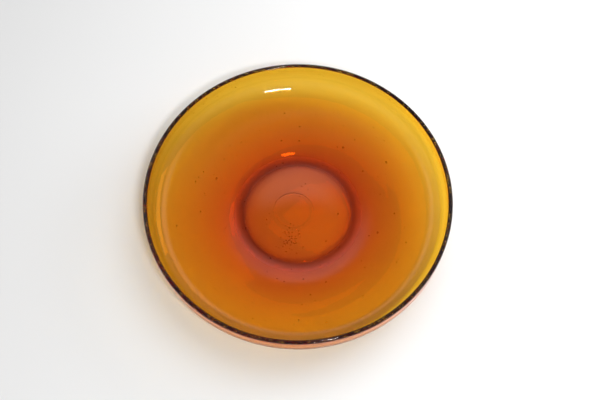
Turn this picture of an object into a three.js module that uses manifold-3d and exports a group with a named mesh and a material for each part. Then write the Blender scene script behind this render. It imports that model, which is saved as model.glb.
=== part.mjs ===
// A wide, shallow bowl of hand-blown amber glass, in one piece.
//
// Millimetres, +Z up. The origin is the centre of the ring that the bowl stands on,
// so the bowl's axis is the Z axis and the surface below it is the plane z = 0.
//
// The wall is one revolved section. Its inside falls straight down from the rounded lip and
// turns sharply into a nearly flat floor. Half-way in, the floor sinks to a ring-shaped groove,
// and it rises again over the low dome in the middle. Underneath, the base stands on a narrow
// flat ring and is pushed up inside it. A shallow dish is ground into the pushed-up centre,
// where the pontil broke off.

import * as THREE from 'three';
import { mergeVertices } from 'three/addons/utils/BufferGeometryUtils.js';
import Module from 'manifold-3d';

// Driving dimensions
const RIM_RADIUS = 127.5;
const HEIGHT = 40;
const LIP_THICKNESS = 3.5;

const WALL_FOOT = 28.7; // height above which the inside of the wall is upright
const FLOOR_RADIUS = 108; // where the floor starts to turn up into the wall, inside
const FLOOR_HEIGHT = 12.75;
const FLOOR_SLOPE = 2; // degrees from level
const SHOULDER_RADIUS = 70; // where the floor dips towards the groove
const SHOULDER_HEIGHT = 11.75;
const GROOVE_RADIUS = 47;
const GROOVE_HEIGHT = 9.3;
const CENTRE_HEIGHT = 12.5; // top of the dome in the middle of the floor

const BELLY_RADIUS = 107.5; // where the underside turns up into the wall
const BELLY_HEIGHT = 8.2;
const BELLY_SLOPE = 4; // degrees from level
const FOOT_RADIUS = 59; // where the underside bends down to the standing ring
const FOOT_HEIGHT = 2.1;
const FOOT_SLOPE = 22; // degrees from level
const RING_OUTER_RADIUS = 52.5;
const RING_INNER_RADIUS = 47.5;
const PUSH_UP_HEIGHT = 4.5; // underside of the raised centre

const PONTIL_RADIUS = 16;
const PONTIL_DEPTH = 0.8;
const PUSH_UP_FALL = 0.2; // how much lower the push-up is at the pontil mark's edge
const PONTIL_OFFSET = -4; // the pontil mark lies off the axis, along X

const ROUND_TURN = 0.5523; // reach of the handles of a cubic curve that turns a quarter circle
const TURN_STEPS = 5; // steps along each curve of the section
const ROUND_STEPS = 60; // steps around the axis

// A point `run` millimetres along a line that climbs at `slope` degrees from (radius, height).
function along(radius, height, slope, run) {
  return [radius + run, height + run * Math.tan(THREE.MathUtils.degToRad(slope))];
}

// Inside of the bowl, from the axis out to the inner edge of the lip.
function drawInside(section, lipHeight) {
  const wallRadius = RIM_RADIUS - LIP_THICKNESS;
  section.moveTo(0, CENTRE_HEIGHT);
  section.bezierCurveTo(
    0.38 * GROOVE_RADIUS, CENTRE_HEIGHT,
    0.72 * GROOVE_RADIUS, GROOVE_HEIGHT,
    GROOVE_RADIUS, GROOVE_HEIGHT,
  );
  section.bezierCurveTo(
    GROOVE_RADIUS + 7, GROOVE_HEIGHT,
    ...along(SHOULDER_RADIUS, SHOULDER_HEIGHT, FLOOR_SLOPE, -9),
    SHOULDER_RADIUS, SHOULDER_HEIGHT,
  );
  section.bezierCurveTo(
    ...along(SHOULDER_RADIUS, SHOULDER_HEIGHT, FLOOR_SLOPE, 12),
    ...along(FLOOR_RADIUS, FLOOR_HEIGHT, FLOOR_SLOPE, -14),
    FLOOR_RADIUS, FLOOR_HEIGHT,
  );
  section.bezierCurveTo(
    ...along(FLOOR_RADIUS, FLOOR_HEIGHT, FLOOR_SLOPE, ROUND_TURN * (wallRadius - FLOOR_RADIUS)),
    wallRadius, WALL_FOOT - ROUND_TURN * (WALL_FOOT - FLOOR_HEIGHT),
    wallRadius, WALL_FOOT,
  );
  section.lineTo(wallRadius, lipHeight);
}

// Outside of the bowl, from the outer edge of the lip down to the standing ring.
function drawOutside(section) {
  section.lineTo(RIM_RADIUS, WALL_FOOT);
  section.bezierCurveTo(
    RIM_RADIUS, WALL_FOOT - ROUND_TURN * (WALL_FOOT - BELLY_HEIGHT),
    ...along(BELLY_RADIUS, BELLY_HEIGHT, BELLY_SLOPE, ROUND_TURN * (RIM_RADIUS - BELLY_RADIUS)),
    BELLY_RADIUS, BELLY_HEIGHT,
  );
  section.bezierCurveTo(
    ...along(BELLY_RADIUS, BELLY_HEIGHT, BELLY_SLOPE, -18),
    ...along(FOOT_RADIUS, FOOT_HEIGHT, FOOT_SLOPE, 7.5),
    FOOT_RADIUS, FOOT_HEIGHT,
  );
  section.bezierCurveTo(
    ...along(FOOT_RADIUS, FOOT_HEIGHT, FOOT_SLOPE, -3),
    RING_OUTER_RADIUS + 1.5, 0,
    RING_OUTER_RADIUS, 0,
  );
}

// Underside inside the standing ring, back to the axis.
function drawPushUp(section) {
  section.lineTo(RING_INNER_RADIUS, 0);
  section.bezierCurveTo(
    0.93 * RING_INNER_RADIUS, 0.1 * PUSH_UP_HEIGHT,
    0.78 * RING_INNER_RADIUS, PUSH_UP_HEIGHT,
    0, PUSH_UP_HEIGHT,
  );
}

function bowlSection() {
  const lipRadius = LIP_THICKNESS / 2;
  const lipHeight = HEIGHT - lipRadius;
  const section = new THREE.Path();
  drawInside(section, lipHeight);
  section.absarc(RIM_RADIUS - lipRadius, lipHeight, lipRadius, Math.PI, 0, true);
  drawOutside(section);
  drawPushUp(section);
  return section.getPoints(TURN_STEPS);
}

// The glass that the grinding wheel takes away: a disc with a domed top, cut from below.
function pontilCutSection() {
  const overlap = 1.2; // the disc is wider than the mark it leaves
  const radius = overlap * PONTIL_RADIUS;
  const top = PUSH_UP_HEIGHT + PONTIL_DEPTH;
  const fall = overlap ** 2 * (PONTIL_DEPTH + PUSH_UP_FALL);
  const base = 1;
  const section = new THREE.Path();
  section.moveTo(0, top);
  section.quadraticCurveTo(radius / 2, top, radius, top - fall);
  section.lineTo(radius, base);
  section.lineTo(0, base);
  return section.getPoints(TURN_STEPS);
}

// A section revolved about Z, with its shared vertices merged and no collapsed triangles.
// A lathe faces outwards when its points end at the top, and these sections start there.
function revolve(points, steps) {
  const lathe = new THREE.LatheGeometry(points.reverse(), steps);
  lathe.rotateX(Math.PI / 2);
  lathe.deleteAttribute('normal');
  lathe.deleteAttribute('uv');
  const merged = mergeVertices(lathe, 1e-4);
  const index = merged.getIndex().array;
  const kept = [];
  for (let i = 0; i < index.length; i += 3) {
    const [a, b, c] = [index[i], index[i + 1], index[i + 2]];
    if (a !== b && b !== c && c !== a) {
      kept.push(a, b, c);
    }
  }
  merged.setIndex(kept);
  return merged;
}

function toSolid(wasm, geometry) {
  const mesh = new wasm.Mesh({
    numProp: 3,
    vertProperties: geometry.getAttribute('position').array,
    triVerts: new Uint32Array(geometry.getIndex().array),
  });
  return new wasm.Manifold(mesh);
}

function toGeometry(solid) {
  const { vertProperties, triVerts } = solid.getMesh();
  const geometry = new THREE.BufferGeometry();
  geometry.setAttribute('position', new THREE.BufferAttribute(vertProperties, 3));
  geometry.setIndex(new THREE.BufferAttribute(triVerts, 1));
  return geometry;
}

async function bowlGeometry() {
  const wasm = await Module();
  wasm.setup();
  const blank = toSolid(wasm, revolve(bowlSection(), ROUND_STEPS));
  const cut = revolve(pontilCutSection(), ROUND_STEPS / 2);
  cut.translate(PONTIL_OFFSET, 0, 0);
  const geometry = toGeometry(blank.subtract(toSolid(wasm, cut)));
  geometry.computeVertexNormals();
  return geometry;
}

const amberGlass = new THREE.MeshStandardMaterial({
  name: 'amber_glass',
  color: 0xd9821f,
  roughness: 0.05,
  metalness: 0,
  transparent: true,
  opacity: 0.6,
});

const bowl = new THREE.Mesh(await bowlGeometry(), amberGlass);
bowl.name = 'bowl';

const group = new THREE.Group();
group.add(bowl);

export default group;
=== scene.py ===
"""A wide, shallow bowl of hand-blown amber glass, standing on a pale table.

Metres, +Z up. The bowl's axis is the Z axis, and the table's top is just below z = 0.
"""

import math

import bpy
import numpy as np
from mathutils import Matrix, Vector


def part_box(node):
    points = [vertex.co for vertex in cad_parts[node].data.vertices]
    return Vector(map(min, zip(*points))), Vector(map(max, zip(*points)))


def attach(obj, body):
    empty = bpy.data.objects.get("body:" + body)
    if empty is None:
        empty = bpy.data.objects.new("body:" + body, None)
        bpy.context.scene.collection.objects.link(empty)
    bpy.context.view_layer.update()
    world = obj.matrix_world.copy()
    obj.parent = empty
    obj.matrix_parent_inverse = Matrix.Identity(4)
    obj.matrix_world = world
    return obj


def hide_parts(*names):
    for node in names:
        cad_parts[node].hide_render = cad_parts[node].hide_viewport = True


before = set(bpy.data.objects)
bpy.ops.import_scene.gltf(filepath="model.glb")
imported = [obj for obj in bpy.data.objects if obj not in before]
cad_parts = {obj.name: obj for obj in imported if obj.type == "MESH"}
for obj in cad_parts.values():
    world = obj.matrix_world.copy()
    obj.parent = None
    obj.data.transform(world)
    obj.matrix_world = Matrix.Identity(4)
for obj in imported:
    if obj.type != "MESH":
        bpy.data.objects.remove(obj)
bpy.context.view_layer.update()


# ---------------------------------------------------------------------------------------
# The glass bowl. It is one gather of bubbly amber glass, blown, spun out flat and turned up
# at the edge. Its section is revolved, and the tool and the spinning leave slight waves in it.
# ---------------------------------------------------------------------------------------

high_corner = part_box("bowl")[1]
RIM_RADIUS = high_corner[0]
HEIGHT = high_corner[2]
LIP_THICKNESS = 0.0035
WALL_RADIUS = RIM_RADIUS - LIP_THICKNESS
WALL_FOOT = 0.0287
FLOOR_RADIUS, FLOOR_HEIGHT, FLOOR_SLOPE = 0.108, 0.01275, 2.0
SHOULDER_RADIUS, SHOULDER_HEIGHT = 0.070, 0.01175
GROOVE_RADIUS, GROOVE_HEIGHT = 0.047, 0.0093
CENTRE_HEIGHT = 0.0125
BELLY_RADIUS, BELLY_HEIGHT, BELLY_SLOPE = 0.1075, 0.0082, 4.0
FOOT_RADIUS, FOOT_HEIGHT, FOOT_SLOPE = 0.059, 0.0021, 22.0
RING_OUTER_RADIUS, RING_INNER_RADIUS = 0.0525, 0.0475
PUSH_UP_HEIGHT = 0.0045
ROUND_TURN = 0.5523  # reach of the handles of a cubic curve that turns a quarter circle
PONTIL_RADIUS, PONTIL_DEPTH, PONTIL_X = 0.016, 0.0008, -0.004
GROOVE_CUT, GROOVE_WIDTH = 0.0010, 0.0009  # fine groove around the pontil mark
WALL_TURN, WALL_TURN_WIDTH = 0.112, 0.010  # where the waves die out towards the wall
SEAT_RADIUS, SEAT_HALF_WIDTH = 0.050, 0.004  # flat ring that has no waves
SEAT_FADE = 0.008
FINE_SPACING, BROAD_SPACING = 0.0046, 0.019  # of the waves, along the radius
FINE_WAVE, BROAD_WAVE, LOBE = 0.000005, 0.00004, 0.00008  # how high they stand
WAVE_START = 0.03  # radius inside which they fade towards the axis
TURNS = 256  # steps around the axis
WALL_STEPS = 5  # steps down the upright outside of the wall


def along(radius, height, slope, run):
    """A point `run` metres along a line that climbs at `slope` degrees from (radius, height)."""
    return radius + run, height + run * math.tan(math.radians(slope))


def curve(points, steps):
    """A cubic Bezier curve, without its first point: the four points weighted by the binomials
    of t and 1 - t, at `steps` even values of t."""
    t = np.linspace(0, 1, steps + 1)[1:, None]
    a, b, c, d = (np.array(p) for p in points)
    return (1 - t) ** 3 * a + 3 * (1 - t) ** 2 * t * b + 3 * (1 - t) * t ** 2 * c + t ** 3 * d


def line(start, end, steps):
    """A straight line, without its first point, at even steps."""
    t = np.linspace(0, 1, steps + 1)[1:, None]
    return (1 - t) * np.array(start) + t * np.array(end)


def inside_section():
    """From the axis over the dome, the groove and the floor, up to the foot of the lip."""
    centre = (0, CENTRE_HEIGHT)
    groove = (GROOVE_RADIUS, GROOVE_HEIGHT)
    shoulder = (SHOULDER_RADIUS, SHOULDER_HEIGHT)
    floor_edge = (FLOOR_RADIUS, FLOOR_HEIGHT)
    wall_foot = (WALL_RADIUS, WALL_FOOT)
    turn = ROUND_TURN * (WALL_RADIUS - FLOOR_RADIUS)
    return np.vstack([
        [centre],
        curve([centre, (0.38 * GROOVE_RADIUS, CENTRE_HEIGHT),
               (0.72 * GROOVE_RADIUS, GROOVE_HEIGHT), groove], 34),
        curve([groove, (GROOVE_RADIUS + 0.007, GROOVE_HEIGHT),
               along(*shoulder, FLOOR_SLOPE, -0.009), shoulder], 22),
        curve([shoulder, along(*shoulder, FLOOR_SLOPE, 0.012),
               along(*floor_edge, FLOOR_SLOPE, -0.014), floor_edge], 24),
        curve([floor_edge, along(*floor_edge, FLOOR_SLOPE, turn),
               (WALL_RADIUS, WALL_FOOT - ROUND_TURN * (WALL_FOOT - FLOOR_HEIGHT)), wall_foot], 22),
        line(wall_foot, (WALL_RADIUS, HEIGHT - LIP_THICKNESS / 2), 6),
    ])


def lip_section():
    """The lip's round edge: half a circle from the inner edge over to the outer one."""
    radius = LIP_THICKNESS / 2
    angle = np.linspace(math.pi, 0, 15)[1:]
    return np.stack([RIM_RADIUS - radius + radius * np.cos(angle),
                     HEIGHT - radius + radius * np.sin(angle)], axis=1)


def outside_section():
    """From the lip down the wall, along the underside, over the standing ring and the push-up."""
    wall_foot = (RIM_RADIUS, WALL_FOOT)
    belly = (BELLY_RADIUS, BELLY_HEIGHT)
    foot = (FOOT_RADIUS, FOOT_HEIGHT)
    ring_outer, ring_inner = (RING_OUTER_RADIUS, 0), (RING_INNER_RADIUS, 0)
    turn = ROUND_TURN * (RIM_RADIUS - BELLY_RADIUS)
    return np.vstack([
        line((RIM_RADIUS, HEIGHT - LIP_THICKNESS / 2), wall_foot, WALL_STEPS),
        curve([wall_foot, (RIM_RADIUS, WALL_FOOT - ROUND_TURN * (WALL_FOOT - BELLY_HEIGHT)),
               along(*belly, BELLY_SLOPE, turn), belly], 22),
        curve([belly, along(*belly, BELLY_SLOPE, -0.018),
               along(*foot, FOOT_SLOPE, 0.0075), foot], 24),
        curve([foot, along(*foot, FOOT_SLOPE, -0.003), (RING_OUTER_RADIUS + 0.0015, 0),
               ring_outer], 8),
        line(ring_outer, ring_inner, 3),
        curve([ring_inner, (0.93 * RING_INNER_RADIUS, 0.10 * PUSH_UP_HEIGHT),
               (0.78 * RING_INNER_RADIUS, PUSH_UP_HEIGHT), (0, PUSH_UP_HEIGHT)], 100),
    ])


def hand_waves(radius, angle, phase):
    """How far a surface stands proud where the glass was turned against the tool: shallow waves
    that run round the bowl and drift slowly inwards, stronger in some sectors than in others."""
    drift = 1.5 * np.sin(angle + phase) + 0.8 * np.sin(2 * angle - phase)
    sectors = 1 + 0.6 * np.sin(3 * angle + 2 * phase)
    fine = np.sin(2 * np.pi * radius / FINE_SPACING + drift) * sectors
    broad = np.sin(2 * np.pi * radius / BROAD_SPACING + 2 * angle + phase)
    lobes = np.sin(2 * angle + phase) + 0.5 * np.sin(5 * angle - 2 * phase)
    fade = np.clip(radius / WAVE_START, 0, 1) ** 2
    return fade * (FINE_WAVE * fine + BROAD_WAVE * broad + LOBE * lobes)


def bowl_surface():
    """The whole skin of the glass on a grid of section point by angle. The waves are added to
    the heights inside and, where the bowl doesn't stand, underneath. The ground pontil mark is
    a shallow paraboloid dish inside a fine, bell-shaped groove, off the axis."""
    inner, lip, outer = inside_section(), lip_section(), outside_section()
    section = np.vstack([inner, lip, outer])
    angle = np.arange(TURNS) * 2 * math.pi / TURNS
    radius, phi = np.meshgrid(section[1:-1, 0], angle, indexing="ij")
    height = np.repeat(section[1:-1, 1][:, None], TURNS, axis=1)
    is_inside = (np.arange(len(section)) < len(inner))[1:-1, None]
    is_under = (np.arange(len(section)) >= len(inner) + len(lip))[1:-1, None]
    on_wall = np.clip((radius - WALL_TURN) / WALL_TURN_WIDTH, 0, 1)
    height += is_inside * (1 - on_wall) * hand_waves(radius, phi, 0.6)
    from_seat = np.abs(radius - SEAT_RADIUS) - SEAT_HALF_WIDTH
    clear_of_ring = np.clip(from_seat / SEAT_FADE, 0, 1)
    height += is_under * (1 - on_wall) * clear_of_ring * hand_waves(radius, phi, 2.9)
    x, y = radius * np.cos(phi), radius * np.sin(phi)
    from_mark = np.hypot(x - PONTIL_X, y) / PONTIL_RADIUS
    dish = PONTIL_DEPTH * np.clip(1 - from_mark ** 2, 0, None)
    edge = GROOVE_CUT * np.exp(-((from_mark - 1) * PONTIL_RADIUS / GROOVE_WIDTH) ** 2)
    height += is_under * (dish + edge)
    grid = np.stack([x, y, height], axis=2).reshape(-1, 3)
    under_pole = section[-1, 1] + PONTIL_DEPTH * (1 - (PONTIL_X / PONTIL_RADIUS) ** 2)
    poles = np.array([[0, 0, section[0, 1]], [0, 0, under_pole]])
    return np.vstack([grid, poles]), radius.shape[0]


def bowl_faces(rings):
    """Quads between neighbouring rings and a fan of triangles at each pole."""
    j = np.arange(TURNS)
    following = (j + 1) % TURNS
    row = np.arange(rings - 1)[:, None] * TURNS
    quads = np.stack([row + j, row + TURNS + j, row + TURNS + following, row + following], axis=2)
    last = (rings - 1) * TURNS
    top_pole, under_pole = rings * TURNS, rings * TURNS + 1
    top_fan = np.stack([np.full(TURNS, top_pole), j, following], axis=1)
    under_fan = np.stack([np.full(TURNS, under_pole), last + following, last + j], axis=1)
    return quads.reshape(-1, 4).tolist() + top_fan.tolist() + under_fan.tolist()


# Seed bubbles are hollows that were in the melt and were drawn out along the turn of the glass.
# They are in the bowl's own mesh, so their faces point into the hollow, away from the glass.

dice = np.random.default_rng(7)
DRAWN_OUT = 1.5  # how many times as long as wide a seed is
SEED_RANGE = 0.105  # seeds lie inside this radius in the floor


def glass_between(radius):
    """The heights of the underside and of the floor at each radius, from the section."""
    inner, outer = inside_section(), outside_section()[WALL_STEPS:][::-1]
    floor = np.interp(radius, inner[:, 0], inner[:, 1])
    under = np.interp(radius, outer[:, 0], outer[:, 1])
    return under, floor


def floor_seeds(radius, angle, size):
    """Seeds at these radii and angles, at a random depth that keeps them inside the glass."""
    under, floor = glass_between(radius)
    depth = dice.uniform(0.25, 0.8, radius.shape)
    height = under + depth * (floor - under)
    place = np.stack([radius * np.cos(angle), radius * np.sin(angle), height], axis=1)
    return np.column_stack([place, angle, size])


def scattered_seeds(count):
    """Seeds all over the floor, more of them small than large."""
    radius = SEED_RANGE * np.sqrt(dice.uniform(0.01, 1, count))
    angle = dice.uniform(0, 2 * math.pi, count)
    return floor_seeds(radius, angle, 0.00018 + 0.00045 * dice.random(count) ** 4)


def large_seeds():
    """A few larger seeds that catch the eye, in millimetres from the axis."""
    place = np.array([(77, 45), (-44, -15), (67, -21), (40, 60), (-70, 30)]) / 1000
    radius, angle = np.hypot(place[:, 0], place[:, 1]), np.arctan2(place[:, 1], place[:, 0])
    return floor_seeds(radius, angle, np.full(len(place), 0.0008))


def foam_patch(count):
    """A patch of fine foam in the dome, towards the front."""
    x = dice.normal(-0.006, 0.0042, count)
    y = dice.normal(-0.026, 0.0055, count)
    return floor_seeds(np.hypot(x, y), np.arctan2(y, x), dice.uniform(0.00025, 0.00045, count))


def wall_seeds(count, low, high):
    """Seeds in the upright wall and the lip, near the middle of its thickness."""
    angle = dice.uniform(0, 2 * math.pi, count)
    radius = RIM_RADIUS - LIP_THICKNESS / 2 + dice.uniform(-0.0006, 0.0006, count)
    place = [radius * np.cos(angle), radius * np.sin(angle), dice.uniform(low, high, count)]
    return np.column_stack([*place, angle, dice.uniform(0.00025, 0.00055, count)])


def hollows(seeds, first):
    """Each seed as an egg: a sphere of 5 bands and 8 sides, half as long again along the turn of
    the bowl as across it. Its sides are listed clockwise, seen from outside the hollow."""
    sides, bands = 8, 5
    tilt = np.arange(1, bands) * math.pi / bands
    turn = np.arange(sides) * 2 * math.pi / sides
    ring = [np.outer(np.sin(tilt), np.cos(turn)), np.outer(np.sin(tilt), np.sin(turn)),
            np.outer(np.cos(tilt), np.ones(sides))]
    ball = np.vstack([np.stack(ring, axis=2).reshape(-1, 3), [[0, 0, 1], [0, 0, -1]]])
    angle, size = seeds[:, 3, None], seeds[:, 4, None]
    across, round_turn = size * ball[:, 0], DRAWN_OUT * size * ball[:, 1]
    x = seeds[:, 0, None] + across * np.cos(angle) - round_turn * np.sin(angle)
    y = seeds[:, 1, None] + across * np.sin(angle) + round_turn * np.cos(angle)
    z = seeds[:, 2, None] + size * ball[:, 2]
    i, following = np.arange(sides), (np.arange(sides) + 1) % sides
    faces = []
    for band in range(bands - 2):
        here, below = band * sides, (band + 1) * sides
        faces += np.stack([here + i, here + following, below + following, below + i], 1).tolist()
    bottom = (bands - 2) * sides
    top_point, bottom_point = (bands - 1) * sides, (bands - 1) * sides + 1
    faces += [[top_point, b, a] for a, b in zip(i.tolist(), following.tolist())]
    faces += [[bottom_point, bottom + a, bottom + b]
              for a, b in zip(i.tolist(), following.tolist())]
    starts = first + len(ball) * np.arange(len(seeds))
    shifted = [[start + corner for corner in face] for start in starts.tolist() for face in faces]
    return np.stack([x, y, z], axis=2).reshape(-1, 3), shifted


skin, rings = bowl_surface()
seeds = np.vstack([
    scattered_seeds(260),
    large_seeds(),
    foam_patch(60),
    wall_seeds(60, 0.024, 0.036),
    wall_seeds(300, 0.0370, 0.0390),
])
hollow_points, hollow_faces = hollows(seeds, len(skin))
mesh = bpy.data.meshes.new("blown_bowl")
mesh.from_pydata(np.vstack([skin, hollow_points]), [], bowl_faces(rings) + hollow_faces)
mesh.polygons.foreach_set("use_smooth", np.ones(len(mesh.polygons), dtype=bool))
bowl = bpy.data.objects.new("blown_bowl", mesh)
bpy.context.scene.collection.objects.link(bowl)


def colour(hex_code):
    """An sRGB hex colour as the linear colour that the shaders work in."""
    srgb = np.array([int(hex_code[i:i + 2], 16) / 255 for i in (0, 2, 4)])
    linear = np.where(srgb <= 0.04045, srgb / 12.92, ((srgb + 0.055) / 1.055) ** 2.4)
    return (*linear.tolist(), 1.0)


def add_node(tree, kind, links=None, **settings):
    """Adds a node. A setting whose name is an input's sets that input, others set the node, and
    links maps an input's name to the output that feeds it."""
    node = tree.nodes.new(kind)
    for name, value in settings.items():
        setattr(node, name, value)
    for name, value in (links or {}).items():
        if isinstance(value, bpy.types.NodeSocket):
            tree.links.new(value, node.inputs[name])
        else:
            node.inputs[name].default_value = value
    return node


def new_material(name):
    """An empty material with its output node."""
    material = bpy.data.materials.new(name)
    material.use_nodes = True
    material.node_tree.nodes.clear()
    return material, material.node_tree


PEEL_SIZE, PEEL_DEPTH = 0.007, 0.00003  # the faint unevenness of a fire-polished skin
PAINTED_SHADE_REACH = 0.0075  # how far the painted shade spreads from the inner edge of the standing ring


def amber_glass():
    """Soda-lime glass coloured amber with sulphur and iron, fire-polished. The glass takes the
    light away over its length, blue first and then green, so thin wall is yellow and the thick
    base is red-brown. Its surface is bright, with the slight orange-peel of blown glass. The
    underside is worn matt where it rubs on the table. Around the inner edge of the standing ring
    the underside's colour is tinted grey: this is painted shade, a soft dark ring."""
    taken_per_metre = np.array([15.0, 134.0, 800.0])
    density = taken_per_metre.max()
    passed = 1 - taken_per_metre / density
    material, tree = new_material("blown_amber_glass")
    place = add_node(tree, "ShaderNodeTexCoord").outputs["Object"]
    peel = add_node(tree, "ShaderNodeTexNoise",
                    {"Vector": place, "Scale": 1 / PEEL_SIZE, "Detail": 2.0})
    bump = add_node(tree, "ShaderNodeBump",
                    {"Height": peel.outputs["Fac"], "Strength": 0.2, "Distance": PEEL_DEPTH})
    height = add_node(tree, "ShaderNodeSeparateXYZ", {"Vector": place}).outputs["Z"]
    wear = add_node(tree, "ShaderNodeMapRange",
                    {"Value": height, "From Min": 0.0010, "From Max": 0.0001, "To Max": 0.4},
                    interpolation_type="SMOOTHSTEP")
    # Painted shade: on the underside, in a ring around the inner edge of the standing ring, the
    # glass's colour is tinted grey to stand in for the shade that falls there.
    across = add_node(tree, "ShaderNodeVectorMath", {0: place, 1: (1, 1, 0)},
                      operation="MULTIPLY").outputs["Vector"]
    radius = add_node(tree, "ShaderNodeVectorMath", {0: across},
                      operation="LENGTH").outputs["Value"]
    offset = add_node(tree, "ShaderNodeMath", {0: radius, 1: RING_INNER_RADIUS},
                      operation="SUBTRACT").outputs[0]
    distance = add_node(tree, "ShaderNodeMath", {0: offset}, operation="ABSOLUTE").outputs[0]
    near_ring = add_node(tree, "ShaderNodeMapRange",
                         {"Value": distance, "From Min": PAINTED_SHADE_REACH, "From Max": 0.0},
                         interpolation_type="SMOOTHSTEP")
    is_under = add_node(tree, "ShaderNodeMapRange",
                        {"Value": height, "From Min": 0.0060, "From Max": 0.0048})
    painted_shade_mask = add_node(tree, "ShaderNodeMath", {0: near_ring.outputs[0], 1: is_under.outputs[0]},
                    operation="MULTIPLY").outputs[0]
    tint = add_node(tree, "ShaderNodeMix", {"Factor": painted_shade_mask}, data_type="RGBA")
    # Sockets 6 and 7 are the Mix node's two colours; the grey second one is the painted shade.
    tint.inputs[6].default_value = colour("ffffff")
    tint.inputs[7].default_value = colour("b4aba6")
    surface = add_node(tree, "ShaderNodeBsdfPrincipled",
                       {"Base Color": tint.outputs[2], "Roughness": wear.outputs[0], "IOR": 1.5,
                        "Transmission Weight": 1.0, "Normal": bump.outputs["Normal"]})
    body = add_node(tree, "ShaderNodeVolumeAbsorption",
                    {"Color": (*passed.tolist(), 1.0), "Density": float(density)})
    add_node(tree, "ShaderNodeOutputMaterial",
             {"Surface": surface.outputs["BSDF"], "Volume": body.outputs["Volume"]})
    return material


mesh.materials.append(amber_glass())
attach(bowl, "root")
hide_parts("bowl")


# ---------------------------------------------------------------------------------------
# The table. It is a pale, matt board, wide enough that its edges are never seen. It isn't
# part of the bowl.
# ---------------------------------------------------------------------------------------

TABLE_HALF_WIDTH = 3.0
TABLE_GAP = 0.0002  # the table's top is this far below the standing ring


def table_top():
    """A matt, pale grey-white laminate with hardly any sheen."""
    material, tree = new_material("matt_white_laminate")
    surface = add_node(tree, "ShaderNodeBsdfPrincipled",
                       {"Base Color": colour("e4e4e4"), "Roughness": 0.9,
                        "Specular IOR Level": 0.1})
    add_node(tree, "ShaderNodeOutputMaterial", {"Surface": surface.outputs["BSDF"]})
    return material


corners = [(-1, -1), (1, -1), (1, 1), (-1, 1)]
table_mesh = bpy.data.meshes.new("table_top")
table_mesh.from_pydata(
    [(TABLE_HALF_WIDTH * x, TABLE_HALF_WIDTH * y, -TABLE_GAP) for x, y in corners],
    [], [(0, 1, 2, 3)])
table_mesh.materials.append(table_top())
table = bpy.data.objects.new("table_top", table_mesh)
bpy.context.scene.collection.objects.link(table)


# ---------------------------------------------------------------------------------------
# The light. A dim room is brighter low down and behind the bowl, and that is what the glass
# mirrors. Broad panels above and to the right light the table through it, and a small window
# above the front leaves the one sharp highlight on the far wall.
# ---------------------------------------------------------------------------------------

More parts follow.
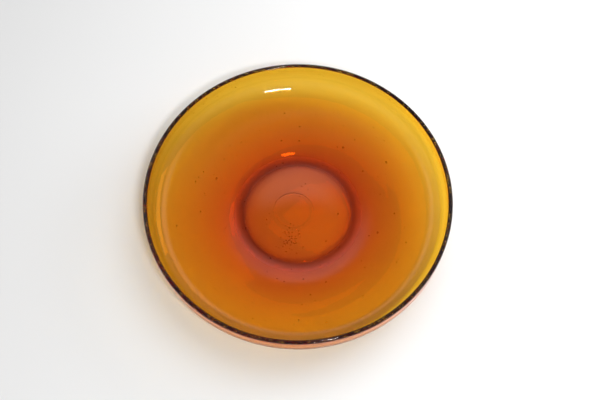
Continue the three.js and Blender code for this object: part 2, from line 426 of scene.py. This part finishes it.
def room():
    """The room's glow by direction. It is dim overhead and twice as bright near the horizon, with
    a brighter band of wall between 36 and 66 degrees up that reaches round from behind the bowl,
    along +Y, to both sides."""
    world = bpy.data.worlds.new("dim_room")
    world.use_nodes = True
    tree = world.node_tree
    tree.nodes.clear()
    direction = add_node(tree, "ShaderNodeTexCoord").outputs["Generated"]
    part = add_node(tree, "ShaderNodeSeparateXYZ", {"Vector": direction})
    height = part.outputs["Z"]
    over = add_node(tree, "ShaderNodeMapRange",
                    {"Value": height, "From Min": math.sin(math.radians(66)),
                     "From Max": math.sin(math.radians(51))}, interpolation_type="SMOOTHSTEP")
    under = add_node(tree, "ShaderNodeMapRange",
                     {"Value": height, "From Min": math.sin(math.radians(36)),
                      "From Max": math.sin(math.radians(48))}, interpolation_type="SMOOTHSTEP")
    behind = add_node(tree, "ShaderNodeMapRange",
                      {"Value": part.outputs["Y"], "From Min": -0.25, "From Max": 0.45,
                       "To Max": 0.85},
                      interpolation_type="SMOOTHSTEP")
    band = add_node(tree, "ShaderNodeMath", {0: over.outputs[0], 1: under.outputs[0]},
                    operation="MULTIPLY")
    glow = add_node(tree, "ShaderNodeMath", {0: band.outputs[0], 1: behind.outputs[0]},
                    operation="MULTIPLY")
    low = add_node(tree, "ShaderNodeMapRange",
                   {"Value": height, "From Min": math.sin(math.radians(48)),
                    "From Max": math.sin(math.radians(30)), "To Min": 0.17, "To Max": 0.36})
    whole = add_node(tree, "ShaderNodeMath", {0: glow.outputs[0], 1: low.outputs[0]},
                     operation="ADD")
    background = add_node(tree, "ShaderNodeBackground",
                          {"Color": colour("ffffff"), "Strength": whole.outputs[0]})
    add_node(tree, "ShaderNodeOutputWorld", {"Surface": background.outputs["Background"]})
    return world


def lamp(name, place, width, height, radiance, shows):
    """A flat panel that faces the bowl. Its power is the radiance times pi times its area, and
    shows says whether the glass's outer surface mirrors it."""
    data = bpy.data.lights.new(name, "AREA")
    data.shape = "RECTANGLE"
    data.size, data.size_y = width, height
    data.energy = radiance * math.pi * width * height
    panel = bpy.data.objects.new(name, data)
    panel.location = place
    panel.rotation_euler = Vector(place).to_track_quat("Z", "Y").to_euler()
    panel.visible_glossy = shows
    bpy.context.scene.collection.objects.link(panel)


bpy.context.scene.world = room()
bpy.context.scene.view_settings.view_transform = "Standard"

# Light that runs round inside the lip comes out again only after many reflections.
cycles = bpy.context.scene.cycles
cycles.max_bounces = cycles.transmission_bounces = cycles.glossy_bounces = 40
lamp("overhead_panel", (0.33, 0.27, 0.85), 0.82, 0.82, 2.35, shows=False)
lamp("side_panel", (0.62, 0.36, 0.30), 0.5, 0.3, 6.0, shows=False)
lamp("window", (0.150, -0.539, 0.946), 0.2, 0.08, 110.0, shows=True)


# ---------------------------------------------------------------------------------------
# The camera looks down steeply along +Y, so the wall shows inside at the back and outside at
# the front.
# ---------------------------------------------------------------------------------------

CAMERA_ELEVATION = math.radians(64.3)
CAMERA_DISTANCE = 0.822
rim_centre = Vector((0, 0, HEIGHT))
towards_camera = Vector((0, -math.cos(CAMERA_ELEVATION), math.sin(CAMERA_ELEVATION)))
camera_down = Vector((0, -math.sin(CAMERA_ELEVATION), -math.cos(CAMERA_ELEVATION)))
aim = rim_centre + Vector((0.0018, 0, 0)) + 0.0046 * camera_down

camera_data = bpy.data.cameras.new("camera")
camera_data.lens = 60
camera_data.sensor_width = 36
camera_data.clip_start = 0.01
camera = bpy.data.objects.new("camera", camera_data)
camera.location = rim_centre + CAMERA_DISTANCE * towards_camera
camera.rotation_euler = (camera.location - aim).to_track_quat("Z", "Y").to_euler()
bpy.context.scene.collection.objects.link(camera)
bpy.context.scene.camera = camera
